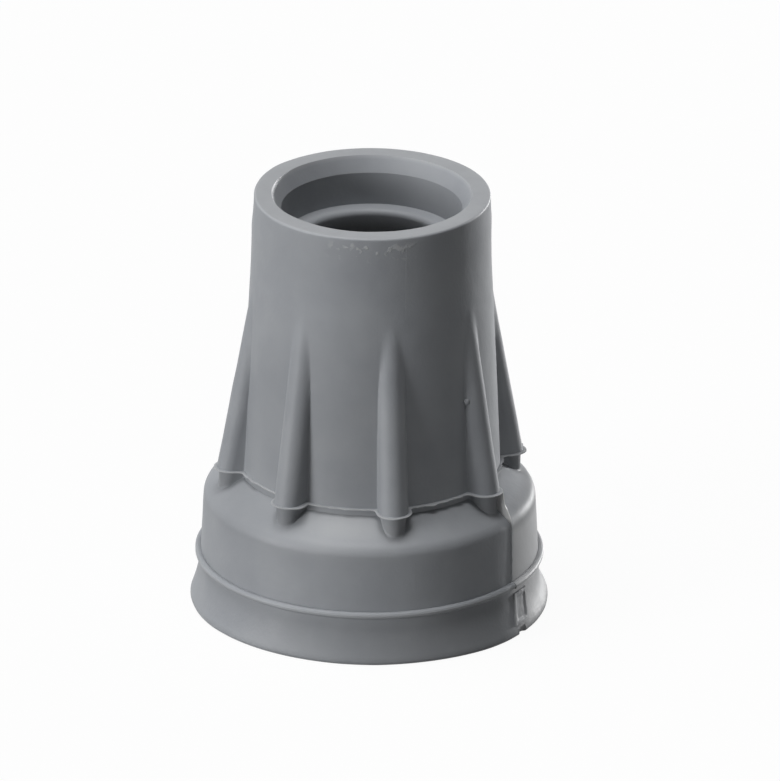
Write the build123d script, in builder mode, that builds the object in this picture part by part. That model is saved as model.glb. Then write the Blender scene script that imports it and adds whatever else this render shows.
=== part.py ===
"""Rubber cane tip: one moulded piece that pushes onto the end of a cane's tube and stands on the floor.

Frame: +Z is the cane's axis and points up, out of the socket's mouth. The origin is on the floor, at
the middle of the sole. One of the ribs faces -Y. All sizes are in millimetres and degrees.
"""

import os
from math import radians, tan

from build123d import *

# --- Overall sizes ------------------------------------------------------------------------------
overall_height = 54.0  # sole to rim
base_diameter = 44.4  # widest place, at the foot of the skirt
rim_diameter = 29.6  # outside of the collar

# --- Socket for the cane's tube, with depths measured down from the rim -------------------------
mouth_diameter = 24.8  # inner edge of the flat rim
guide_diameter = 22.4  # where the mouth's cone ends
guide_depth = 1.9
guide_draft = 5.0  # degrees, from the mouth's cone down to the ledge
ledge_depth = 5.9
grip_diameter = 17.4  # stretches over a 19 mm tube
lip_round = 0.8  # inner edge of the ledge
socket_depth = 38.0
socket_floor_round = 1.2

# --- Body ---------------------------------------------------------------------------------------
collar_height = 8.0  # straight length below the rim
body_foot_diameter = 32.4  # foot of the body's taper
rim_round = 0.3

# --- Base, with heights measured up from the sole -----------------------------------------------
parting_height = 18.4  # plane where the mould's core half met its two lower halves
neck_height = 0.8  # short wall between the parting plane and the shoulder
shoulder_slope = 34.5  # degrees below level
shoulder_round = 1.8
drum_top_diameter = 41.2
drum_foot_diameter = 41.9
bead_diameter = 43.3
bead_height = 6.3  # middle of the bead
bead_thickness = 0.8
flare_diameter = 42.8  # half way down the hollow flare under the bead
edge_height = 0.5  # upright edge of the sole
sole_round = 0.3

# --- Ribs ---------------------------------------------------------------------------------------
rib_count = 8
rib_crest_diameter = 38.5  # over opposite ribs, at the parting plane
rib_width = 3.6
rib_lean = 10.3  # degrees that a rib's crest leans in from upright
rib_root_depth = 1.2  # how far a rib's straight sides run in under its rounded crest
foot_overhang = 0.05  # how far a rib's foot, below the parting plane, stands out on each side of its rib
foot_setback = 0.2  # how far the foot's crest lies inside the rib's crest
foot_lean = 4.0  # degrees
foot_depth = 4.5  # parting plane to the foot's buried end

# --- Marks that the mould left ------------------------------------------------------------------
flash_width = 0.35  # how far the fin at the parting plane stands out
flash_thickness = 0.25
seam_direction = -42.0  # one joint of the two lower halves, turned from +X; the other is opposite
seam_height = 0.2
seam_thickness = 0.3
panel_direction = -39.3  # middle of the small blank frame beside that joint
panel_width = 3.0
panel_bottom = 1.2
panel_top = 5.3
panel_border = 0.5
panel_height = 0.25
notch_direction = -41.6  # nick in the sole's edge under the frame
notch_width = 1.8
notch_depth = 0.6

# --- Worked out from the sizes above ------------------------------------------------------------
base_r = base_diameter / 2
rim_r = rim_diameter / 2
mouth_r = mouth_diameter / 2
guide_r = guide_diameter / 2
guide_foot_r = guide_r - (ledge_depth - guide_depth) * tan(radians(guide_draft))
grip_r = grip_diameter / 2
body_foot_r = body_foot_diameter / 2
drum_top_r = drum_top_diameter / 2
drum_foot_r = drum_foot_diameter / 2
bead_top = bead_height + bead_thickness / 2
bead_bottom = bead_height - bead_thickness / 2
taper_top = overall_height - collar_height
neck_foot = parting_height - neck_height
drum_top = neck_foot - (drum_top_r - body_foot_r) * tan(radians(shoulder_slope))
rib_axis_r = (rib_crest_diameter - rib_width) / 2
foot_width = rib_width + 2 * foot_overhang
foot_axis_r = (rib_crest_diameter - foot_width) / 2 - foot_setback
axis_length = 2 * overall_height  # longer than any cut or plate that is trimmed to the body


def turned_outline(proud):
    """Draw the outline from the axis out to the body's surface, standing proud of it by that much."""
    edge = Polyline((0, 0), (base_r + proud, 0), (base_r + proud, edge_height))
    flare_middle = (flare_diameter / 2 + proud, (edge_height + bead_bottom) / 2)
    flare = ThreePointArc(edge @ 1, flare_middle, (drum_foot_r + proud, bead_bottom))
    bead = ThreePointArc(
        flare @ 1, (bead_diameter / 2 + proud, bead_height), (drum_foot_r + proud, bead_top)
    )
    shoulder = FilletPolyline(
        bead @ 1,
        (drum_top_r + proud, drum_top + proud),
        (body_foot_r + proud, neck_foot + proud),
        radius=shoulder_round + proud,
    )
    Polyline(
        shoulder @ 1,
        (body_foot_r + proud, parting_height),
        (rim_r, taper_top),
        (rim_r, overall_height),
        (0, overall_height),
        (0, 0),
    )


def upright_plane(direction):
    """Plane through the axis that faces sideways: its X points outwards and its Y points up."""
    outwards = Vector(1, 0, 0).rotate(Axis.Z, direction)
    return Plane(origin=(0, 0, 0), x_dir=outwards, z_dir=outwards.cross(Vector(0, 0, 1)))


def leaning_plane(axis_r, lean):
    """Plane across a rib or foot that faces -Y and leans in by lean degrees, at the parting plane."""
    return Plane(origin=(0, -axis_r, parting_height), x_dir=(1, 0, 0), z_dir=(0, tan(radians(lean)), 1))


# --- One rib and its foot, facing -Y ------------------------------------------------------------
with BuildPart() as rib:
    with BuildSketch(leaning_plane(rib_axis_r, rib_lean)):
        Circle(rib_width / 2)
        Rectangle(rib_width, rib_root_depth, align=(Align.CENTER, Align.MIN))
    extrude(amount=(overall_height - collar_height - parting_height), both=True)
    split(bisect_by=Plane.XY.offset(parting_height), keep=Keep.TOP)

with BuildPart() as foot:
    with BuildSketch(leaning_plane(foot_axis_r, foot_lean)):
        Circle(foot_width / 2)
        Rectangle(foot_width, rib_root_depth, align=(Align.CENTER, Align.MIN))
    extrude(amount=foot_depth, both=True)
    split(bisect_by=Plane.XY.offset(parting_height), keep=Keep.BOTTOM)

# --- Blank raised frame beside the seam ---------------------------------------------------------
panel_plane = upright_plane(panel_direction)
with BuildPart() as panel_frame:
    with BuildSketch(panel_plane):
        with BuildLine():
            turned_outline(panel_height)
        make_face()
        with Locations((0, panel_bottom)):
            Rectangle(
                axis_length, panel_top - panel_bottom, align=(Align.CENTER, Align.MIN), mode=Mode.INTERSECT
            )
    extrude(amount=panel_width / 2, both=True)
    with BuildSketch(panel_plane):
        with Locations((0, panel_bottom + panel_border)):
            Rectangle(
                axis_length, panel_top - panel_bottom - 2 * panel_border, align=(Align.MIN, Align.MIN)
            )
    extrude(amount=panel_width / 2 - panel_border, both=True, mode=Mode.SUBTRACT)

# --- The moulded piece --------------------------------------------------------------------------
with BuildPart() as rubber_tip:
    with BuildSketch(Plane.XZ):
        with BuildLine():
            turned_outline(0)
        make_face()
    revolve(axis=Axis.Z)

    def ring_edge(radius, height):
        """The round edge of the solid that lies nearest to a radius and a height."""
        circles = rubber_tip.edges().filter_by(GeomType.CIRCLE)
        return circles.sort_by(lambda e: abs(e.radius - radius) + abs(e.arc_center.Z - height))[0]

    fillet(ring_edge(base_r, 0), sole_round)
    fillet(ring_edge(rim_r, overall_height), rim_round)

    with PolarLocations(0, rib_count):
        add(rib.part)
        add(foot.part)

    # The thin fin that the mould squeezed out all round the body and its ribs.
    with BuildSketch(Plane.XY.offset(parting_height)):
        Circle(body_foot_r + flash_width)
        with PolarLocations(rib_axis_r, rib_count, start_angle=-90):
            Circle(rib_width / 2 + flash_width)
        with PolarLocations(foot_axis_r, rib_count, start_angle=-90):
            Circle(foot_width / 2 + flash_width)
            Rectangle(foot_axis_r / 2, foot_width + 2 * flash_width, align=(Align.MAX, Align.CENTER))
    extrude(amount=flash_thickness / 2, both=True)

    # The upright seams where the two lower halves met, one on each side.
    with BuildSketch(*[upright_plane(seam_direction + turn) for turn in (0, 180)]):
        with BuildLine():
            turned_outline(seam_height)
        make_face()
        with Locations((0, sole_round)):
            Rectangle(
                axis_length, parting_height - sole_round, align=(Align.CENTER, Align.MIN), mode=Mode.INTERSECT
            )
    extrude(amount=seam_thickness / 2, both=True)

    add(panel_frame.part)

    # Nick in the sole's edge.
    with BuildSketch(upright_plane(notch_direction)):
        with Locations((base_r - notch_depth, 0)):
            Rectangle(2 * notch_depth, notch_depth, align=(Align.MIN, Align.CENTER))
    extrude(amount=notch_width / 2, both=True, mode=Mode.SUBTRACT)

    # Socket: mouth cone, guide, ledge with a rounded lip, and the bore that grips the tube.
    ledge_z = overall_height - ledge_depth
    floor_z = overall_height - socket_depth
    with BuildSketch(Plane.XZ):
        with BuildLine():
            Polyline(
                (0, overall_height),
                (mouth_r, overall_height),
                (guide_r, overall_height - guide_depth),
                (guide_foot_r, ledge_z),
                (grip_r + lip_round, ledge_z),
            )
            RadiusArc((grip_r + lip_round, ledge_z), (grip_r, ledge_z - lip_round), lip_round)
            Line((grip_r, ledge_z - lip_round), (grip_r, floor_z + socket_floor_round))
            RadiusArc(
                (grip_r, floor_z + socket_floor_round), (grip_r - socket_floor_round, floor_z),
                socket_floor_round,
            )
            Polyline((grip_r - socket_floor_round, floor_z), (0, floor_z), (0, overall_height))
        make_face()
    revolve(axis=Axis.Z, mode=Mode.SUBTRACT)
rubber_tip.part.label = "rubber_tip"

os.makedirs("parts", exist_ok=True)
export_step(rubber_tip.part, "parts/rubber_tip.step")
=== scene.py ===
"""Looks of the rubber cane tip: a detailed skin over the CAD solid, its moulding marks, rubber and studio.

Everything is in metres, in the CAD model's frame: +Z up, the origin on the floor at the middle of the
sole. Sizes written below in millimetres are turned into metres by MM.
"""

from math import atan2, cos, degrees, hypot, pi, radians, sin, sqrt, tan

import bpy
from mathutils import Matrix, Vector, noise


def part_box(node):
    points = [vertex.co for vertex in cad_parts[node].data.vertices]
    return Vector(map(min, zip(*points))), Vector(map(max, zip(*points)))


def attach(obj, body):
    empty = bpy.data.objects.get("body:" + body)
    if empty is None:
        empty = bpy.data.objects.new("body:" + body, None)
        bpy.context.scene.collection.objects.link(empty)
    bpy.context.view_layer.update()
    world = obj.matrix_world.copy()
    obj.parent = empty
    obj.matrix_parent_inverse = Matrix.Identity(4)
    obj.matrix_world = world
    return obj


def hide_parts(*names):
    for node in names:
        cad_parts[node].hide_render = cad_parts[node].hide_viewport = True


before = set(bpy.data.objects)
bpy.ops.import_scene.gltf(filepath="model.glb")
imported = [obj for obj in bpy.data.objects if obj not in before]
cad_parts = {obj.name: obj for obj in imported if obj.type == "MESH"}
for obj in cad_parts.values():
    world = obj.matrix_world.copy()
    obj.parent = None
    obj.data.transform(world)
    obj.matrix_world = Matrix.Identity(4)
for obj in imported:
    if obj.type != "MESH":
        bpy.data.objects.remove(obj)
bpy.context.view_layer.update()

MM = 0.001
NODE = "rubber_tip"
tip_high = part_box(NODE)[1]

# --- Sizes of the moulded shape, in millimetres ---------------------------------------------------
HEIGHT = tip_high[2] / MM
BASE_R = tip_high[0] / MM
RIM_R = 14.82
RIM_ROUND = 0.3
COLLAR_FOOT = HEIGHT - 8.0
COLLAR_BLEND = 3.0  # half the height over which the collar turns into the taper
BODY_FOOT_R = 16.2
PARTING = 18.4
NECK_FOOT = PARTING - 0.8
SHOULDER_SLOPE = radians(34.5)
SHOULDER_ROUND = 1.8
DRUM_TOP_R = 20.6
DRUM_FOOT_R = 20.95
BEAD_Z = 6.3
BEAD_HALF = 0.38
BEAD_R = 21.65
FLARE_R = 21.4
EDGE_HEIGHT = 0.5
SOLE_ROUND = 0.3

# Socket, with depths below the rim.
MOUTH_R = 12.4
GUIDE_R = 11.2
GUIDE_DEPTH = 1.9
GUIDE_FOOT_R = 10.85
LEDGE_DEPTH = 5.9
GRIP_R = 8.7
LIP_ROUND = 0.8
SOCKET_DEPTH = 38.0
FLOOR_ROUND = 1.2

# Ribs.
RIB_COUNT = 8
RIB_STEP = 360.0 / RIB_COUNT
RIB_AXIS_R = 17.45  # middle of a rib's round crest, at the parting plane
RIB_HALF = 1.8  # half of its width
RIB_LEAN = tan(radians(10.3))  # how fast a rib leans in upwards
FOOT_AXIS_R = 17.35
FOOT_HALF = 1.62
FOOT_DRAFT = 0.14  # how fast a foot narrows downwards
FOOT_LEAN = tan(radians(8.0))
ROOT_ROUND = 0.12  # concave round where a rib meets the body
TIP_BLEND = 0.2  # softness of the line where a rib sinks into the body
COLUMN_R = 16.0  # radius at which the columns of rows with no rib are spaced

# Fin squeezed out at the parting plane.
FIN_REACH = 0.4
FIN_HALF = 0.15  # half of its thickness
FIN_ROOT_ROUND = 0.9
FIN_UPPER_EDGE, FIN_LOWER_EDGE = 0.55, -0.1  # heights of its two edges, as shares of FIN_HALF

# Seam of the two lower halves, and what lies beside it. Directions are in degrees, turned from +X.
SEAM_TOP_DIRECTION = -41.5
SEAM_FOOT_DIRECTION = -43.8
SEAM_BEND_Z = 14.0  # below this the seam wanders from the one direction to the other
# Radius and height of its edge, where it is a fin that stands out from the rib's foot and the shoulder.
SEAM_CREST = (
    (19.3, 18.4), (19.5, 17.4), (19.7, 16.5), (19.95, 15.9), (20.25, 15.4), (20.55, 14.95), (20.77, 14.4)
)
SEAM_DRUM_TOP = 14.3  # below this it only stands out a little from the drum
SEAM_LOW = 0.14  # how far it stands out there
SEAM_TALL_FOOT = 14.0  # where the sizes below start to change from the drum's to the tall fin's
SEAM_BLEND = 1.5  # height over which they change
SEAM_BURIED = (0.5, 1.3)
SEAM_ROOT_HALF = (0.2, 0.3)
SEAM_CREST_HALF = (0.07, 0.24)
SEAM_CREST_DROP = (0.08, 0.17)
SEAM_RAGGED = (0.05, 0.12)
SEAM_SWAY = 0.1
PANEL_TOP_DIRECTION = -37.6
PANEL_FOOT_DIRECTION = -41.0
PANEL_WIDTH = 3.2
PANEL_BOTTOM = 1.3
PANEL_TOP = 5.1
PANEL_BORDER = 0.5
PANEL_PROUD = 0.16
PANEL_BURIED = 0.5
PANEL_BEVEL = 0.12
PANEL_FALL = 0.15  # width of the slope from the border down to the plate
PANEL_SUNK = 0.75  # how far down the plate lies, as a share of PANEL_PROUD
PANEL_WOBBLE = 0.03
NICK_DIRECTION = -41.6
NICK_WIDTH = 1.5
NICK_DEPTH = 0.4
NICK_TOP = 0.8

# A crumb of flash left at the root of one rib.
NUB_DIRECTION = -51.0
NUB_Z = 30.5
NUB_HALF = 0.42
NUB_OUT = 0.15  # how far its middle lies outside the body
NUB_STRETCH = 1.1
NUB_LUMPY = 0.45

# How much paler the rubber is painted, from 0 to 1. Most of it is painted light; the scuff flecks are wear,
# and the blank frame is paler too.
# painted highlight along the fin's two edges
FIN_PAINTED_HIGHLIGHT = 0.5
# painted reflection on the rim's top, its inner edge and its round
RIM_PAINTED_REFLECTION = 0.22
# painted highlight on the bead's crest
BEAD_PAINTED_HIGHLIGHT = 0.17
# painted light on the base beyond the seam, on the side that the edge lamp lights
PAINTED_SIDE_LIGHT = 0.64
PAINTED_SIDE_LIGHT_TOP = 14.6  # height where it has faded out upwards
PAINTED_SIDE_LIGHT_TOP_FADE = 1.5
PAINTED_SIDE_LIGHT_START = 1.2  # degrees past the seam over which it sets in
PAINTED_SIDE_LIGHT_END = 10.0  # direction in degrees where the painted light beyond the seam has faded out
PANEL_PALE = 0.32
# painted highlight on the seam fin, strong on its tall part and faint on its low part over the drum
SEAM_TALL_PAINTED_HIGHLIGHT = 1.0
SEAM_LOW_PAINTED_HIGHLIGHT = 0.2
FLECK_PALE = 0.5

# Patch of small scuffs under the front of the rim.
SCUFF_DIRECTION = -99.0
SCUFF_HALF_TURN = 24.0
SCUFF_Z = 52.3
SCUFF_HALF_HEIGHT = 1.3

# Where the outside runs out of round: direction, half the width in degrees, height, half the height, and
# how far out it goes.
LUMPS = (
    (-48.0, 38.0, 0.0, 5.0, 0.3),
    (-130.0, 35.0, 0.0, 5.0, -0.15),
    (-5.0, 40.0, 2.8, 1.9, -0.3),
    (172.0, 40.0, 54.0, 4.0, -0.25),
    (-12.0, 40.0, 54.0, 3.0, -0.12),
)

# Places of painted highlight on the shoulder and of painted shade: direction, half the width in degrees,
# height, half the height, and how strong, from 0 to 1.
# painted highlights on the front of the shoulder
PAINTED_HIGHLIGHT_PLACES = ((-110.0, 32.0, 15.3, 2.4, 0.14), (-108.0, 24.0, 16.6, 1.5, 0.32))
# painted shade: over the edge lamp's glint on the shoulder's round, low on the front of the base, on the
# shoulder at the back left, as a painted shadow along the sole's edge at the right, and over the body's front
# left
PAINTED_SHADE_PLACES = (
    (-14.0, 32.0, 14.3, 1.7, 0.7),
    (-80.0, 70.0, 1.5, 4.8, 0.36),
    (-158.0, 34.0, 16.0, 3.5, 0.3),
    (-16.0, 34.0, 0.0, 1.9, 1.0),
    (-125.0, 75.0, 27.0, 17.0, 0.22),
)
FOOT_PAINTED_SHADE = 0.4  # painted shade on the feet of the ribs
FOOT_PAINTED_SHADE_REACH = 0.5  # how far a foot stands out where it is at its darkest
BORE_PAINTED_SHADE_DEPTH = 1.5  # over which painted shade darkens the grip bore

# --- Camera -----------------------------------------------------------------------------------------
CAMERA_AZIMUTH = -10.0
CAMERA_ELEVATION = 23.0
CAMERA_DISTANCE = 3.0
CAMERA_LENS = 1116.0
CAMERA_ROLL = 0.45
AIM_RIGHT = 2.42 * MM  # the object stands a little left of the picture's middle
AIM_UP = 0.5 * MM


# --- Points along the outline -----------------------------------------------------------------------
def along_line(start, end, step):
    """Points from start up to, but not including, end, about step apart."""
    count = max(1, round(hypot(end[0] - start[0], end[1] - start[1]) / step))
    share = [i / count for i in range(count)]
    return [(start[0] + (end[0] - start[0]) * s, start[1] + (end[1] - start[1]) * s) for s in share]


def along_arc(centre, radius, start, end, count):
    """Points on an arc about centre, from the start angle to the end angle in degrees, both included."""
    angles = [radians(start + (end - start) * i / count) for i in range(count + 1)]
    return [(centre[0] + radius * cos(a), centre[1] + radius * sin(a)) for a in angles]


def through_arc(start, middle, end, count):
    """Points on the arc through three points, from start to end."""
    (ax, ay), (bx, by), (cx, cy) = start, middle, end
    d = 2 * (ax * (by - cy) + bx * (cy - ay) + cx * (ay - by))
    sa, sb, sc = ax * ax + ay * ay, bx * bx + by * by, cx * cx + cy * cy
    centre = ((sa * (by - cy) + sb * (cy - ay) + sc * (ay - by)) / d,
              (sa * (cx - bx) + sb * (ax - cx) + sc * (bx - ax)) / d)
    angle = [degrees(atan2(p[1] - centre[1], p[0] - centre[0])) for p in (start, middle, end)]
    turn = (angle[2] - angle[0]) % 360
    if (angle[1] - angle[0]) % 360 > turn:
        turn -= 360
    return along_arc(centre, hypot(ax - centre[0], ay - centre[1]), angle[0], angle[0] + turn, count)


def body_radius(z):
    """Outer radius between the ribs, above the parting plane."""
    slope = (BODY_FOOT_R - RIM_R) / (COLLAR_FOOT - PARTING)
    below = COLLAR_FOOT - z
    if below <= -COLLAR_BLEND:
        return RIM_R
    if below < COLLAR_BLEND:
        return RIM_R + slope * (below + COLLAR_BLEND) ** 2 / (4 * COLLAR_BLEND)
    return RIM_R + slope * below


# --- Sections across the tip ------------------------------------------------------------------------
CREST_TURNS = [radians(a) for a in (0, 12, 24, 36, 48, 60, 72, 82, 90)]
ROOT_SHARES = (0.0, 0.12, 0.3, 0.55, 1.0)
GAP_COLUMNS = 11


def soft_above(x):
    """x where it is well above 0, 0 where it is well below, and a smooth bend between."""
    if abs(x) < TIP_BLEND:
        return (x + TIP_BLEND) ** 2 / (4 * TIP_BLEND)
    return max(x, 0.0)


def half_section(body_r, rib_r, half, root):
    """Half of one rib and the gap beside it, as (turn from the rib's middle, radius), rib_r 0 for no rib."""
    points = []
    for turn in CREST_TURNS:
        t = half * sin(turn)
        body = sqrt(body_r ** 2 - t ** 2)
        rise = soft_above(rib_r + half * cos(turn) - body) if rib_r else 0.0
        points.append((atan2(t, body + rise), hypot(t, body + rise)))
    rise = min(rise, root)
    for share in ROOT_SHARES:
        t = half + root * share
        body = sqrt(body_r ** 2 - t ** 2)
        height = body + rise * (1 - sqrt(1 - (1 - share) ** 2))
        points.append((atan2(t, height), hypot(t, height)))
    last = points[-1][0]
    gap = radians(RIB_STEP / 2) - last
    points += [(last + gap * i / GAP_COLUMNS, body_r) for i in range(1, GAP_COLUMNS + 1)]
    return points


def whole_section(half_points):
    """The closed ring of (direction, radius) that the half section makes, mirrored and repeated."""
    ring = []
    sector = [(-turn, r) for turn, r in reversed(half_points[1:-1])] + half_points
    for rib in range(RIB_COUNT):
        middle = radians(-90 + RIB_STEP * rib)
        ring += [(middle + turn, r) for turn, r in sector]
    return ring


PLAIN_TURNS = [turn for turn, r in half_section(COLUMN_R, 0, RIB_HALF, ROOT_ROUND)]


def plain_ring(radius, z):
    """Ring with no ribs, in millimetres."""
    section = whole_section([(turn, radius) for turn in PLAIN_TURNS])
    return [(r * cos(d), r * sin(d), z) for d, r in section]


def ribbed_ring(body_r, z, offset=None, root=ROOT_ROUND):
    """Ring across the ribs or their feet at height z, moved outwards across its line by offset(direction)."""
    if z > PARTING:
        half, rib_r = RIB_HALF, RIB_AXIS_R - (z - PARTING) * RIB_LEAN
    else:
        half, rib_r = FOOT_HALF - (PARTING - z) * FOOT_DRAFT, FOOT_AXIS_R + (PARTING - z) * FOOT_LEAN
    section = whole_section(half_section(body_r, rib_r, half, root))
    ring = [Vector((r * cos(d), r * sin(d), z)) for d, r in section]
    if offset is None:
        return ring
    moved = []
    for i, point in enumerate(ring):
        line = ring[(i + 1) % len(ring)] - ring[i - 1]
        outwards = Vector((line.y, -line.x, 0)).normalized()
        moved.append(point + outwards * offset(atan2(point.y, point.x)))
    return moved


# --- Unevenness -------------------------------------------------------------------------------------
SLOW_WAVE, SLOW_HEIGHT = 7.0, 0.05
QUICK_WAVE, QUICK_HEIGHT = 2.6, 0.018


def unevenness(point):
    """How far the moulded surface stands off its true shape at a point, in millimetres."""
    p = Vector(point)
    slow = noise.noise(p / SLOW_WAVE + Vector((3.1, 8.2, 5.3)))
    quick = noise.noise(p / QUICK_WAVE + Vector((9.7, 1.4, 2.2)))
    return SLOW_HEIGHT * slow + QUICK_HEIGHT * quick


# Tags on the fin: direction, half the width in degrees, how far the tag stands out and its lift.
FIN_TAGS = (
    (3.3, 1.3, 0.45, -0.12), (-72.0, 1.4, 0.22, 0.0), (-129.5, 1.2, 0.2, 0.0), (-46.0, 1.5, 0.16, 0.1),
    (48.0, 1.3, 0.3, 0.1), (112.0, 1.8, 0.25, 0.0), (171.0, 1.1, 0.35, 0.15),
)
FIN_GAPS = ((-153.0, 9.0), (20.0, 7.0), (140.0, 8.0))  # direction and half the width of thin stretches
FIN_GAP_DEPTH = 0.6
FIN_RAGGED, FIN_FRAYED = 0.45, 0.25  # how much its reach varies, slowly and quickly round the tip
FIN_LEAST = 0.05
FIN_LIFT = 0.07


def turn_between(direction, middle):
    """Degrees between a direction in radians and a middle in degrees."""
    return abs((degrees(direction) - middle + 180) % 360 - 180)


def fin_reach(direction):
    """How far the fin stands out in a direction."""
    slow = noise.noise(Vector((cos(direction) * 14, sin(direction) * 14, 4.0)))
    quick = noise.noise(Vector((cos(direction) * 45, sin(direction) * 45, 9.0)))
    reach = FIN_REACH * (1 + FIN_RAGGED * slow + FIN_FRAYED * quick)
    for middle, half, out, lift in FIN_TAGS:
        reach += out * max(0.0, 1 - (turn_between(direction, middle) / half) ** 2)
    for middle, half in FIN_GAPS:
        reach *= 1 - FIN_GAP_DEPTH * max(0.0, 1 - (turn_between(direction, middle) / half) ** 4)
    return max(reach, FIN_LEAST)


def fin_lift(direction):
    """How far the fin's edge wanders up or down."""
    lift = FIN_LIFT * noise.noise(Vector((cos(direction) * 9, sin(direction) * 9, 1.0)))
    for middle, half, out, up in FIN_TAGS:
        lift += up * max(0.0, 1 - (turn_between(direction, middle) / half) ** 2)
    return lift


# --- Outer and inner rings --------------------------------------------------------------------------
def fin_rings():
    """Four rings of the thin fin: its upper root, its two edges and its lower root."""
    upper = ribbed_ring(BODY_FOOT_R, PARTING + FIN_HALF)
    lower = ribbed_ring(BODY_FOOT_R, PARTING - FIN_HALF)
    edges = []
    for share in (FIN_UPPER_EDGE, FIN_LOWER_EDGE):
        edge = ribbed_ring(BODY_FOOT_R, PARTING + 0.01, fin_reach, FIN_ROOT_ROUND)
        for point in edge:
            point.z += FIN_HALF * share
            point.z += fin_lift(atan2(point.y, point.x))
        edges.append(edge)
    return [upper, *edges, lower]


def base_outline():
    """(radius, height) down the drum, the bead and the flare to the middle of the sole."""
    wall = [(DRUM_TOP_R, shoulder_wall_z), (DRUM_FOOT_R, BEAD_Z + BEAD_HALF)]
    points = along_line(wall[0], wall[1], 0.6)
    points += through_arc(wall[1], (BEAD_R, BEAD_Z), (DRUM_FOOT_R, BEAD_Z - BEAD_HALF), 9)
    middle = (FLARE_R, (BEAD_Z - BEAD_HALF + EDGE_HEIGHT) / 2)
    points += through_arc(points[-1], middle, (BASE_R, EDGE_HEIGHT), 11)[1:]
    points += along_arc((BASE_R - SOLE_ROUND, SOLE_ROUND), SOLE_ROUND, 0, -90, 5)
    points += [(r, 0) for r in (20.5, 17.0, 12.0, 6.0, 1.0)]
    return points


def shoulder_outline():
    """(radius, height) from the neck's foot down the shoulder's cone and round its outer edge."""
    slope_z = NECK_FOOT - (DRUM_TOP_R - BODY_FOOT_R) * tan(SHOULDER_SLOPE)
    setback = SHOULDER_ROUND * tan((pi / 2 - SHOULDER_SLOPE) / 2)
    centre = (DRUM_TOP_R - SHOULDER_ROUND, slope_z - setback)
    tangent = (SHOULDER_ROUND * sin(SHOULDER_SLOPE), SHOULDER_ROUND * cos(SHOULDER_SLOPE))
    cone_end = (centre[0] + tangent[0], centre[1] + tangent[1])
    points = along_line((BODY_FOOT_R, NECK_FOOT), cone_end, 0.3)
    points += along_arc(centre, SHOULDER_ROUND, 90 - degrees(SHOULDER_SLOPE), 0, 6)[:-1]
    return points, centre[1]


def socket_outline():
    """(radius, height) from the rim's inner edge down to the middle of the socket's floor."""
    ledge_z, floor_z = HEIGHT - LEDGE_DEPTH, HEIGHT - SOCKET_DEPTH
    points = along_line((MOUTH_R, HEIGHT), (GUIDE_R, HEIGHT - GUIDE_DEPTH), 0.5)
    points += along_line((GUIDE_R, HEIGHT - GUIDE_DEPTH), (GUIDE_FOOT_R, ledge_z), 0.6)
    points += along_line((GUIDE_FOOT_R, ledge_z), (GRIP_R + LIP_ROUND, ledge_z), 0.5)
    points += along_arc((GRIP_R + LIP_ROUND, ledge_z - LIP_ROUND), LIP_ROUND, 90, 180, 6)
    points += along_line((GRIP_R, ledge_z - LIP_ROUND - 1.5), (GRIP_R, floor_z + FLOOR_ROUND), 3.0)
    points += along_arc((GRIP_R - FLOOR_ROUND, floor_z + FLOOR_ROUND), FLOOR_ROUND, 0, -90, 4)
    points += [(4.0, floor_z), (0.8, floor_z)]
    return points


shoulder_points, shoulder_wall_z = shoulder_outline()


def skin_rings():
    """Every ring of the skin with its painted light, from the socket's floor, over the rim, down to the sole:
    a painted reflection on the rim and painted highlights on the fin's edges and the bead's crest.
    """
    # painted reflection on the rim's top, its inner edge and its round
    rings = [(RIM_PAINTED_REFLECTION if z == HEIGHT else 0.0, plain_ring(r, z)) for r, z in reversed(socket_outline())]
    rings += [(RIM_PAINTED_REFLECTION, plain_ring(r, HEIGHT)) for r in (13.0, 13.7)]
    rim = along_arc((RIM_R - RIM_ROUND, HEIGHT - RIM_ROUND), RIM_ROUND, 90, 0, 5)
    rings += [(RIM_PAINTED_REFLECTION * (z - HEIGHT + RIM_ROUND) / RIM_ROUND, plain_ring(r, z)) for r, z in rim]
    for r, z in along_line((0, HEIGHT - RIM_ROUND - 0.5), (0, PARTING + FIN_HALF + 0.25), 0.5):
        rings.append((0.0, ribbed_ring(body_radius(z), z)))
    # painted highlight along the fin's two edges
    rings += zip((0.0, FIN_PAINTED_HIGHLIGHT, FIN_PAINTED_HIGHLIGHT, 0.0), fin_rings())
    for z in (PARTING - 0.3, NECK_FOOT + 0.2):
        rings.append((0.0, ribbed_ring(BODY_FOOT_R, z)))
    rings += [(0.0, ribbed_ring(r, z)) for r, z in shoulder_points]
    # painted highlight on the bead's crest
    for r, z in base_outline():
        rings.append((BEAD_PAINTED_HIGHLIGHT if abs(z - BEAD_Z) < BEAD_HALF / 2 else 0.0, plain_ring(r, z)))
    return rings


def falloff(share):
    """1 at the middle of a patch, falling smoothly to 0 at its edge."""
    return max(0.0, 1 - share * share)


def edge_move(point):
    """How far the outside stands out at a point: it runs out of round, and its edge has a small nick."""
    radius = hypot(point.x, point.y)
    if radius < RIM_R - 0.7 or (point.z < SOLE_ROUND / 2 and radius < BASE_R - 2.5):
        return 0.0
    direction = atan2(point.y, point.x)
    move = 0.0
    for middle, half, height, half_height, out in LUMPS:
        round_share = falloff(turn_between(direction, middle) / half) ** 2
        move += out * round_share * falloff((point.z - height) / half_height)
    side = radians(turn_between(direction, NICK_DIRECTION)) * BASE_R
    if point.z < NICK_TOP:
        move -= NICK_DEPTH * max(0.0, 1 - (2 * side / NICK_WIDTH) ** 4)
    return move


def strongest(point, places):
    """How strong the strongest of some patches is at a point."""
    direction = atan2(point.y, point.x)
    strength = 0.0
    for middle, half, height, half_height, amount in places:
        here = falloff(turn_between(direction, middle) / half) * falloff((point.z - height) / half_height)
        strength = max(strength, amount * here)
    return strength


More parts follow.
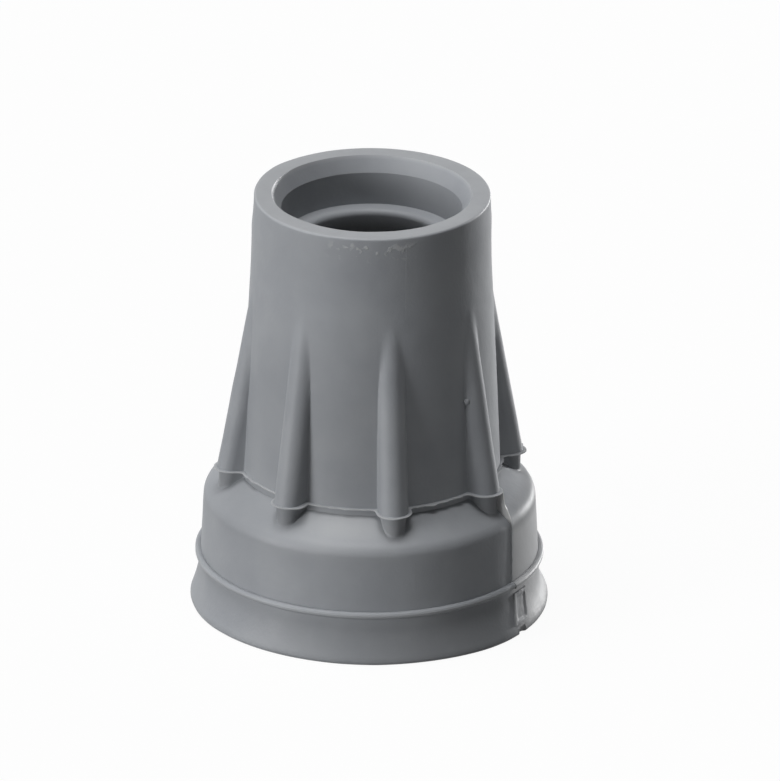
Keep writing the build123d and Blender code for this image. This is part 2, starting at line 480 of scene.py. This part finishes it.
def painted_side_light(point):
    """How much painted light pales the base at a point, beyond the seam on the side that the edge lamp
    lights, fading away from the seam.
    """
    past = degrees(atan2(point.y, point.x)) - degrees(seam_direction(point.z))
    if point.z > PAINTED_SIDE_LIGHT_TOP or past < 0:
        return 0.0
    fade = max(0.0, 1 - past / (PAINTED_SIDE_LIGHT_END - SEAM_TOP_DIRECTION)) ** 0.5
    fade *= min(1.0, (PAINTED_SIDE_LIGHT_TOP - point.z) / PAINTED_SIDE_LIGHT_TOP_FADE)
    return PAINTED_SIDE_LIGHT * min(1.0, past / PAINTED_SIDE_LIGHT_START) * fade


def painted_light_at(point):
    """How much painted light pales the outside at a point: beyond the seam and in the painted highlights on
    the shoulder.
    """
    return max(painted_side_light(point), strongest(point, PAINTED_HIGHLIGHT_PLACES))


def scuff(point):
    """How much the collar is scuffed at a point, in a patch under the front of the rim."""
    if hypot(point.x, point.y) < MOUTH_R:
        return 0.0
    aside = turn_between(atan2(point.y, point.x), SCUFF_DIRECTION) / SCUFF_HALF_TURN
    below = abs(point.z - SCUFF_Z) / SCUFF_HALF_HEIGHT
    return max(0.0, 1 - aside ** 4) * max(0.0, 1 - below ** 2)


def painted_shade(point):
    """How much painted shade darkens the rubber at a point: deep in the grip bore, on the ribs' feet and in a
    few other places.
    """
    radius = hypot(point.x, point.y)
    if radius < RIM_R - 0.7:
        # painted shade deep in the grip bore, growing below the ledge's lip
        inside = radius < GRIP_R + LIP_ROUND and point.z > HEIGHT - SOCKET_DEPTH - 1
        depth = HEIGHT - LEDGE_DEPTH - LIP_ROUND / 2 - point.z
        return min(1.0, max(0.0, depth / BORE_PAINTED_SHADE_DEPTH)) if inside else 0.0
    dark = strongest(point, PAINTED_SHADE_PLACES)
    # painted shade on the ribs' feet, growing as a foot stands out from the shoulder
    shoulder_r = BODY_FOOT_R + max(0.0, NECK_FOOT - point.z) / tan(SHOULDER_SLOPE)
    if shoulder_wall_z < point.z < PARTING - FIN_HALF:
        dark = max(dark, FOOT_PAINTED_SHADE * min(1.0, max(0.0, (radius - shoulder_r) / FOOT_PAINTED_SHADE_REACH)))
    return dark


def paint(mesh, name, values):
    """Store one value for each vertex, which the rubber's material reads."""
    mesh.attributes.new(name, "FLOAT", "POINT").data.foreach_set("value", values)


def new_object(name, vertices, faces):
    """A smooth-shaded mesh object from vertices in millimetres."""
    mesh = bpy.data.meshes.new(name)
    mesh.from_pydata([Vector(v) * MM for v in vertices], [], faces)
    mesh.validate()
    mesh.polygons.foreach_set("use_smooth", [True] * len(mesh.polygons))
    mesh.update()
    piece = bpy.data.objects.new(name, mesh)
    bpy.context.scene.collection.objects.link(piece)
    return piece


def make_skin():
    """The tip's whole surface as one closed mesh."""
    rings = skin_rings()
    columns = len(rings[0][1])
    vertices = [point for paleness_and_painted_light, ring in rings for point in ring]
    ring_painted_light = [paleness_and_painted_light for paleness_and_painted_light, ring in rings for point in ring] + [0.0, 0.0]
    faces = []
    for row in range(len(rings) - 1):
        for column in range(columns):
            after = (column + 1) % columns
            a, b = row * columns, (row + 1) * columns
            faces.append((a + column, b + column, b + after, a + after))
    floor, sole = len(vertices), len(vertices) + 1
    vertices += [(0, 0, HEIGHT - SOCKET_DEPTH), (0, 0, 0)]
    last = (len(rings) - 1) * columns
    for column in range(columns):
        after = (column + 1) % columns
        faces.append((floor, column, after))
        faces.append((sole, last + after, last + column))
    skin = new_object("tip_skin", vertices, faces)
    mesh = skin.data
    normals = [v.normal.copy() for v in mesh.vertices]
    for vertex, normal in zip(mesh.vertices, normals):
        point = vertex.co / MM
        if point.z > 0.02:
            vertex.co += normal * unevenness(point) * MM
        outwards = Vector((point.x, point.y, 0)).normalized()
        vertex.co += outwards * edge_move(point) * MM
    mesh.set_sharp_from_angle(angle=radians(27))
    # painted light, the scuff patch and painted shade, stored for the rubber's material
    paint(mesh, "paleness_and_painted_light", [max(paleness_and_painted_light, painted_light_at(Vector(point))) for paleness_and_painted_light, point in zip(ring_painted_light, vertices)])
    paint(mesh, "scuff", [scuff(Vector(point)) for point in vertices])
    paint(mesh, "painted_shade", [painted_shade(Vector(point)) for point in vertices])
    return skin


# --- Marks that the mould left ----------------------------------------------------------------------
def radius_at(z):
    """Outer radius of the base at a height between the sole's edge and the drum's top."""
    outline = [(r, height) for r, height in base_outline() if height >= EDGE_HEIGHT]
    for (r, top), (r_below, bottom) in zip(outline, outline[1:]):
        if bottom <= z <= top:
            return r + (r_below - r) * (top - z) / (top - bottom)
    return outline[-1][0]


def between(start, end, share):
    """The value that lies a share of the way from start to end."""
    return start + (end - start) * min(1.0, max(0.0, share))


def seam_direction(z):
    """Direction of the seam at a height, in radians."""
    return radians(between(SEAM_TOP_DIRECTION, SEAM_FOOT_DIRECTION, (SEAM_BEND_Z - z) / SEAM_BEND_Z))


def make_seam(name, turn):
    """The thin fin that the two lower halves left, from the parting plane down to the bead."""
    path = []
    for start, end in zip(SEAM_CREST, SEAM_CREST[1:]):
        path += along_line(start, end, 0.25)
    below = [(r, z) for r, z in shoulder_points + base_outline() if BEAD_Z - BEAD_HALF < z < SEAM_DRUM_TOP]
    path += [(r + SEAM_LOW, z) for r, z in below]
    vertices = []
    for i, (r, z) in enumerate(path):
        before, after = path[max(i - 1, 0)], path[min(i + 1, len(path) - 1)]
        along = Vector((after[0] - before[0], after[1] - before[1])).normalized()
        out_r, out_z = -along.y, along.x
        ragged = noise.noise(Vector((r * 1.1, z * 1.1, turn)))
        tall = (z - SEAM_TALL_FOOT) / SEAM_BLEND
        buried = between(*SEAM_BURIED, tall)
        root = between(*SEAM_ROOT_HALF, tall)
        crest = between(*SEAM_CREST_HALF, tall)
        drop = between(*SEAM_CREST_DROP, tall)
        up = between(*SEAM_RAGGED, tall) * ragged
        left = [(-root, -buried), (-crest, up - drop), (-0.4 * crest, up)]
        right = [(-side, height) for side, height in reversed(left)]
        for side, height in left + right:
            direction = seam_direction(z) + radians(turn) + (side + SEAM_SWAY * ragged) / r
            reach = r + out_r * height
            vertices.append((reach * cos(direction), reach * sin(direction), z + out_z * height))
    sides = len(vertices) // len(path)
    faces = [tuple(range(sides)), tuple(len(vertices) - 1 - i for i in range(sides))]
    for row in range(len(path) - 1):
        for i in range(sides):
            a, b = row * sides + i, row * sides + (i + 1) % sides
            faces.append((a, a + sides, b + sides, b))
    seam = new_object(name, vertices, faces)
    seam.data.set_sharp_from_angle(angle=radians(50))
    # painted highlight along the seam fin, strongest on its tall part
    paleness_and_painted_light = [between(SEAM_LOW_PAINTED_HIGHLIGHT, SEAM_TALL_PAINTED_HIGHLIGHT, z - SEAM_TALL_FOOT + 0.5) for x, y, z in vertices]
    paint(seam.data, "paleness_and_painted_light", paleness_and_painted_light)
    return seam


def make_panel():
    """The blank raised frame beside the seam: a plate laid over the flare, with a proud border."""
    across, upwards = 24, 32
    vertices = []
    for layer in (0, 1):
        for row in range(upwards + 1):
            z = between(PANEL_BOTTOM, PANEL_TOP, row / upwards)
            middle = radians(between(PANEL_FOOT_DIRECTION, PANEL_TOP_DIRECTION, row / upwards))
            for column in range(across + 1):
                side = (column / across - 0.5) * PANEL_WIDTH
                inset = min(PANEL_WIDTH / 2 - abs(side), z - PANEL_BOTTOM, PANEL_TOP - z)
                bevel = min(1.0, inset / PANEL_BEVEL)
                fall = min(1.0, max(0.0, (inset - PANEL_BORDER) / PANEL_FALL))
                up = PANEL_PROUD * (bevel - PANEL_SUNK * fall) if layer else -PANEL_BURIED
                wobble = PANEL_WOBBLE * noise.noise(Vector((side * 1.7, z * 1.7, 3.0)))
                beneath = Vector((BASE_R * cos(middle), BASE_R * sin(middle), z))
                r = radius_at(z) + edge_move(beneath) + up + wobble
                direction = middle + side / r
                vertices.append((r * cos(direction), r * sin(direction), z))
    wide, size = across + 1, (across + 1) * (upwards + 1)
    faces = []
    for row in range(upwards):
        for column in range(across):
            a = row * wide + column
            faces.append((size + a, size + a + 1, size + a + wide + 1, size + a + wide))
            faces.append((a, a + wide, a + wide + 1, a + 1))
    edge = list(range(across))
    edge += [row * wide + across for row in range(upwards)]
    edge += [upwards * wide + column for column in range(across, 0, -1)]
    edge += [row * wide for row in range(upwards, 0, -1)]
    for a, b in zip(edge, edge[1:] + edge[:1]):
        faces.append((a, b, b + size, a + size))
    panel = new_object("blank_mark_frame", vertices, faces)
    panel.data.set_sharp_from_angle(angle=radians(40))
    paint(panel.data, "paleness_and_painted_light", [PANEL_PALE] * len(vertices))
    return panel


def make_nub():
    """A crumb of flash at the root of the second rib right of the camera."""
    around, rows = 12, 8
    direction = radians(NUB_DIRECTION)
    out = Vector((cos(direction), sin(direction), 0))
    side = Vector((-sin(direction), cos(direction), 0))
    middle = out * (body_radius(NUB_Z) + NUB_OUT) + Vector((0, 0, NUB_Z))
    vertices = [middle + Vector((0, 0, NUB_HALF))]
    for row in range(1, rows):
        tilt = pi * row / rows
        for i in range(around):
            turn = 2 * pi * i / around
            level = out * NUB_STRETCH * sin(tilt) * cos(turn) + side * sin(tilt) * sin(turn)
            point = level + Vector((0, 0, cos(tilt)))
            lump = NUB_LUMPY * noise.noise(point * 1.6 + Vector((5, 2, 7)))
            vertices.append(middle + point * NUB_HALF * (1 + lump))
    vertices.append(middle - Vector((0, 0, 1.5 * NUB_HALF)))
    faces = []
    for i in range(around):
        after = (i + 1) % around
        faces.append((0, 1 + i, 1 + after))
        for row in range(rows - 2):
            a, b = 1 + row * around, 1 + (row + 1) * around
            faces.append((a + i, b + i, b + after, a + after))
        last = 1 + (rows - 2) * around
        faces.append((last + i, len(vertices) - 1, last + after))
    return new_object("flash_crumb", vertices, faces)


# --- Materials --------------------------------------------------------------------------------------
RUBBER_DARK = (0.239, 0.251, 0.270, 1)
RUBBER_LIGHT = (0.277, 0.289, 0.306, 1)
# pale colour for the scuff flecks, the blank frame and the painted light
PALE_SCUFF_AND_PAINTED_LIGHT_COLOUR = (0.520, 0.525, 0.530, 1)
# colour of the painted shade
PAINTED_SHADE_COLOUR = (0.13, 0.135, 0.14, 1)
ROUGHNESS_LOW, ROUGHNESS_HIGH = 0.46, 0.6
FLOOR_GLOW = 0.93  # share of the floor that shines by itself as the camera sees it
FLOOR_SHADE = 0.12  # how much light the floor gives back to the object


def rubber():
    """Mid-grey moulded rubber: faint mottling, a soft uneven gloss, a fine grain, pale scuff flecks, and the
    painted light and painted shade that the mesh carries.
    """
    material = bpy.data.materials.new("grey_rubber")
    material.use_nodes = True
    nodes, links = material.node_tree.nodes, material.node_tree.links
    shader = nodes["Principled BSDF"]
    place = nodes.new("ShaderNodeTexCoord")

    def mottle(scale, detail, offset=(0, 0, 0)):
        shift = nodes.new("ShaderNodeMapping")
        shift.inputs["Location"].default_value = offset
        texture = nodes.new("ShaderNodeTexNoise")
        texture.inputs["Scale"].default_value = scale
        texture.inputs["Detail"].default_value = detail
        links.new(place.outputs["Object"], shift.inputs["Vector"])
        links.new(shift.outputs["Vector"], texture.inputs["Vector"])
        return texture.outputs["Fac"]

    colour = nodes.new("ShaderNodeValToRGB")
    colour.color_ramp.elements[0].position = 0.3
    colour.color_ramp.elements[0].color = RUBBER_DARK
    colour.color_ramp.elements[1].position = 0.72
    colour.color_ramp.elements[1].color = RUBBER_LIGHT
    links.new(mottle(140, 4), colour.inputs["Fac"])

    # painted light and painted highlights that the mesh carries, with the scuff flecks, pale the colour
    paleness_and_painted_light = nodes.new("ShaderNodeAttribute")
    paleness_and_painted_light.attribute_name = "paleness_and_painted_light"
    scuffed = nodes.new("ShaderNodeAttribute")
    scuffed.attribute_name = "scuff"
    flecks = nodes.new("ShaderNodeMapRange")
    flecks.inputs["From Min"].default_value = 0.56
    flecks.inputs["From Max"].default_value = 0.64
    flecks.inputs["To Max"].default_value = FLECK_PALE
    links.new(mottle(900, 3, (0.2, 0.6, 0.4)), flecks.inputs["Value"])
    marks = nodes.new("ShaderNodeMath")
    marks.operation = "MULTIPLY"
    links.new(flecks.outputs["Result"], marks.inputs[0])
    links.new(scuffed.outputs["Fac"], marks.inputs[1])
    paler = nodes.new("ShaderNodeMath")
    paler.operation = "MAXIMUM"
    links.new(paleness_and_painted_light.outputs["Fac"], paler.inputs[0])
    links.new(marks.outputs["Value"], paler.inputs[1])
    tint = nodes.new("ShaderNodeMixRGB")
    links.new(paler.outputs["Value"], tint.inputs["Fac"])
    links.new(colour.outputs["Color"], tint.inputs["Color1"])
    tint.inputs["Color2"].default_value = PALE_SCUFF_AND_PAINTED_LIGHT_COLOUR
    # painted shade that the mesh carries darkens the colour
    painted_shade_attribute = nodes.new("ShaderNodeAttribute")
    painted_shade_attribute.attribute_name = "painted_shade"
    darker = nodes.new("ShaderNodeMixRGB")
    links.new(painted_shade_attribute.outputs["Fac"], darker.inputs["Fac"])
    links.new(tint.outputs["Color"], darker.inputs["Color1"])
    darker.inputs["Color2"].default_value = PAINTED_SHADE_COLOUR
    links.new(darker.outputs["Color"], shader.inputs["Base Color"])

    gloss = nodes.new("ShaderNodeMapRange")
    gloss.inputs["To Min"].default_value = ROUGHNESS_LOW
    gloss.inputs["To Max"].default_value = ROUGHNESS_HIGH
    links.new(mottle(320, 3, (0.3, 0.1, 0.7)), gloss.inputs["Value"])
    links.new(gloss.outputs["Result"], shader.inputs["Roughness"])

    grain = nodes.new("ShaderNodeBump")
    grain.inputs["Strength"].default_value = 0.25
    grain.inputs["Distance"].default_value = 0.00006
    links.new(mottle(2600, 3), grain.inputs["Height"])
    swell = nodes.new("ShaderNodeBump")
    swell.inputs["Strength"].default_value = 0.35
    swell.inputs["Distance"].default_value = 0.00015
    links.new(mottle(420, 2, (0.9, 0.5, 0.2)), swell.inputs["Height"])
    links.new(grain.outputs["Normal"], swell.inputs["Normal"])
    nibbles = nodes.new("ShaderNodeBump")
    nibbles.inputs["Strength"].default_value = 0.8
    nibbles.inputs["Distance"].default_value = 0.0001
    links.new(marks.outputs["Value"], nibbles.inputs["Height"])
    links.new(swell.outputs["Normal"], nibbles.inputs["Normal"])
    links.new(nibbles.outputs["Normal"], shader.inputs["Normal"])
    shader.inputs["Specular IOR Level"].default_value = 0.35
    return material


def floor_white():
    """White as the camera sees it, with the object's shadow kept, and dim in the light that it gives back."""
    material = bpy.data.materials.new("floor_white")
    material.use_nodes = True
    nodes, links = material.node_tree.nodes, material.node_tree.links
    nodes.clear()
    out = nodes.new("ShaderNodeOutputMaterial")
    path = nodes.new("ShaderNodeLightPath")
    seen = nodes.new("ShaderNodeMath")
    seen.operation = "MAXIMUM"
    links.new(path.outputs["Is Camera Ray"], seen.inputs[0])
    links.new(path.outputs["Is Glossy Ray"], seen.inputs[1])
    matt = nodes.new("ShaderNodeBsdfDiffuse")
    matt.inputs["Color"].default_value = (FLOOR_SHADE, FLOOR_SHADE, FLOOR_SHADE, 1)
    plain = nodes.new("ShaderNodeBsdfDiffuse")
    plain.inputs["Color"].default_value = (0.8, 0.8, 0.8, 1)
    light = nodes.new("ShaderNodeEmission")
    light.inputs["Strength"].default_value = 1.0
    lit = nodes.new("ShaderNodeMixShader")
    lit.inputs["Fac"].default_value = FLOOR_GLOW
    links.new(plain.outputs["BSDF"], lit.inputs[1])
    links.new(light.outputs["Emission"], lit.inputs[2])
    whole = nodes.new("ShaderNodeMixShader")
    links.new(seen.outputs["Value"], whole.inputs["Fac"])
    links.new(matt.outputs["BSDF"], whole.inputs[1])
    links.new(lit.outputs["Shader"], whole.inputs[2])
    links.new(whole.outputs["Shader"], out.inputs["Surface"])
    return material


# --- Pieces -----------------------------------------------------------------------------------------
rubber_material = rubber()
skin = make_skin()
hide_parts(NODE)
seams = [make_seam("seam_fin_front", 0), make_seam("seam_fin_back", 180)]
for piece in (skin, *seams, make_panel(), make_nub()):
    piece.data.materials.append(rubber_material)
    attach(piece, "root")
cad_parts[NODE].data.materials.clear()
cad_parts[NODE].data.materials.append(rubber_material)


# --- Studio -----------------------------------------------------------------------------------------
FLOOR_HALF = 3000.0
WORLD_LIGHT = 0.02
# Lamps: name, azimuth from the camera's, elevation, strength and softness in degrees.
LAMPS = (
    ("key", -60, 7, 2.75, 25),
    ("top", -90, 76, 1.6, 35),
    ("overhead", 0, 88, 1.0, 30),
    ("edge", 139, 0.8, 2.7, 3),
    ("fill", 30, 3, 0.2, 30),
)


def make_floor():
    """A wide white floor."""
    corners = [(x * FLOOR_HALF, y * FLOOR_HALF, 0) for x, y in ((-1, -1), (1, -1), (1, 1), (-1, 1))]
    floor = new_object("floor", corners, [(0, 1, 2, 3)])
    floor.data.materials.append(floor_white())


def make_world():
    """White behind the object, and a dim even light from all round."""
    world = bpy.data.worlds.new("studio")
    bpy.context.scene.world = world
    world.use_nodes = True
    nodes, links = world.node_tree.nodes, world.node_tree.links
    backdrop = nodes["Background"]
    path = nodes.new("ShaderNodeLightPath")
    glossy = nodes.new("ShaderNodeMath")
    glossy.operation = "MAXIMUM"
    seen = nodes.new("ShaderNodeMath")
    seen.operation = "MAXIMUM"
    level = nodes.new("ShaderNodeMapRange")
    level.inputs["To Min"].default_value = WORLD_LIGHT
    level.inputs["To Max"].default_value = 1.0
    links.new(path.outputs["Is Camera Ray"], glossy.inputs[0])
    links.new(path.outputs["Is Glossy Ray"], glossy.inputs[1])
    links.new(glossy.outputs["Value"], seen.inputs[0])
    links.new(path.outputs["Is Transmission Ray"], seen.inputs[1])
    links.new(seen.outputs["Value"], level.inputs["Value"])
    links.new(level.outputs["Result"], backdrop.inputs["Strength"])
    backdrop.inputs["Color"].default_value = (1, 1, 1, 1)


def outward(azimuth, elevation):
    """Unit vector from the object towards a direction, with azimuth 0 towards -Y, growing towards +X."""
    a, e = radians(azimuth), radians(elevation)
    return Vector((sin(a) * cos(e), -cos(a) * cos(e), sin(e)))


def make_lamp(name, azimuth, elevation, strength, softness):
    """A soft distant lamp."""
    data = bpy.data.lights.new(name, "SUN")
    data.energy = strength
    data.angle = radians(softness)
    lamp = bpy.data.objects.new(name, data)
    lamp.rotation_mode = "QUATERNION"
    lamp.rotation_quaternion = outward(azimuth, elevation).to_track_quat("Z", "Y")
    bpy.context.scene.collection.objects.link(lamp)


def make_camera():
    """Long lens, a little above the rim."""
    data = bpy.data.cameras.new("camera")
    data.lens = CAMERA_LENS
    data.sensor_width = 36
    data.clip_start, data.clip_end = 0.1, 50
    camera = bpy.data.objects.new("camera", data)
    bpy.context.scene.collection.objects.link(camera)
    back = outward(CAMERA_AZIMUTH, CAMERA_ELEVATION)
    turned = back.to_track_quat("Z", "Y").to_matrix()
    right, up = turned.col[0], turned.col[1]
    aim = Vector((0, 0, HEIGHT * MM / 2)) + right * AIM_RIGHT + up * AIM_UP
    roll = Matrix.Rotation(radians(CAMERA_ROLL), 3, "Z")
    camera.matrix_world = Matrix.Translation(aim + back * CAMERA_DISTANCE) @ (turned @ roll).to_4x4()
    bpy.context.scene.camera = camera


make_floor()
make_world()
for lamp_name, turn, elevation, strength, softness in LAMPS:
    make_lamp(lamp_name, CAMERA_AZIMUTH + turn, elevation, strength, softness)
make_camera()
bpy.context.scene.view_settings.view_transform = "Standard"
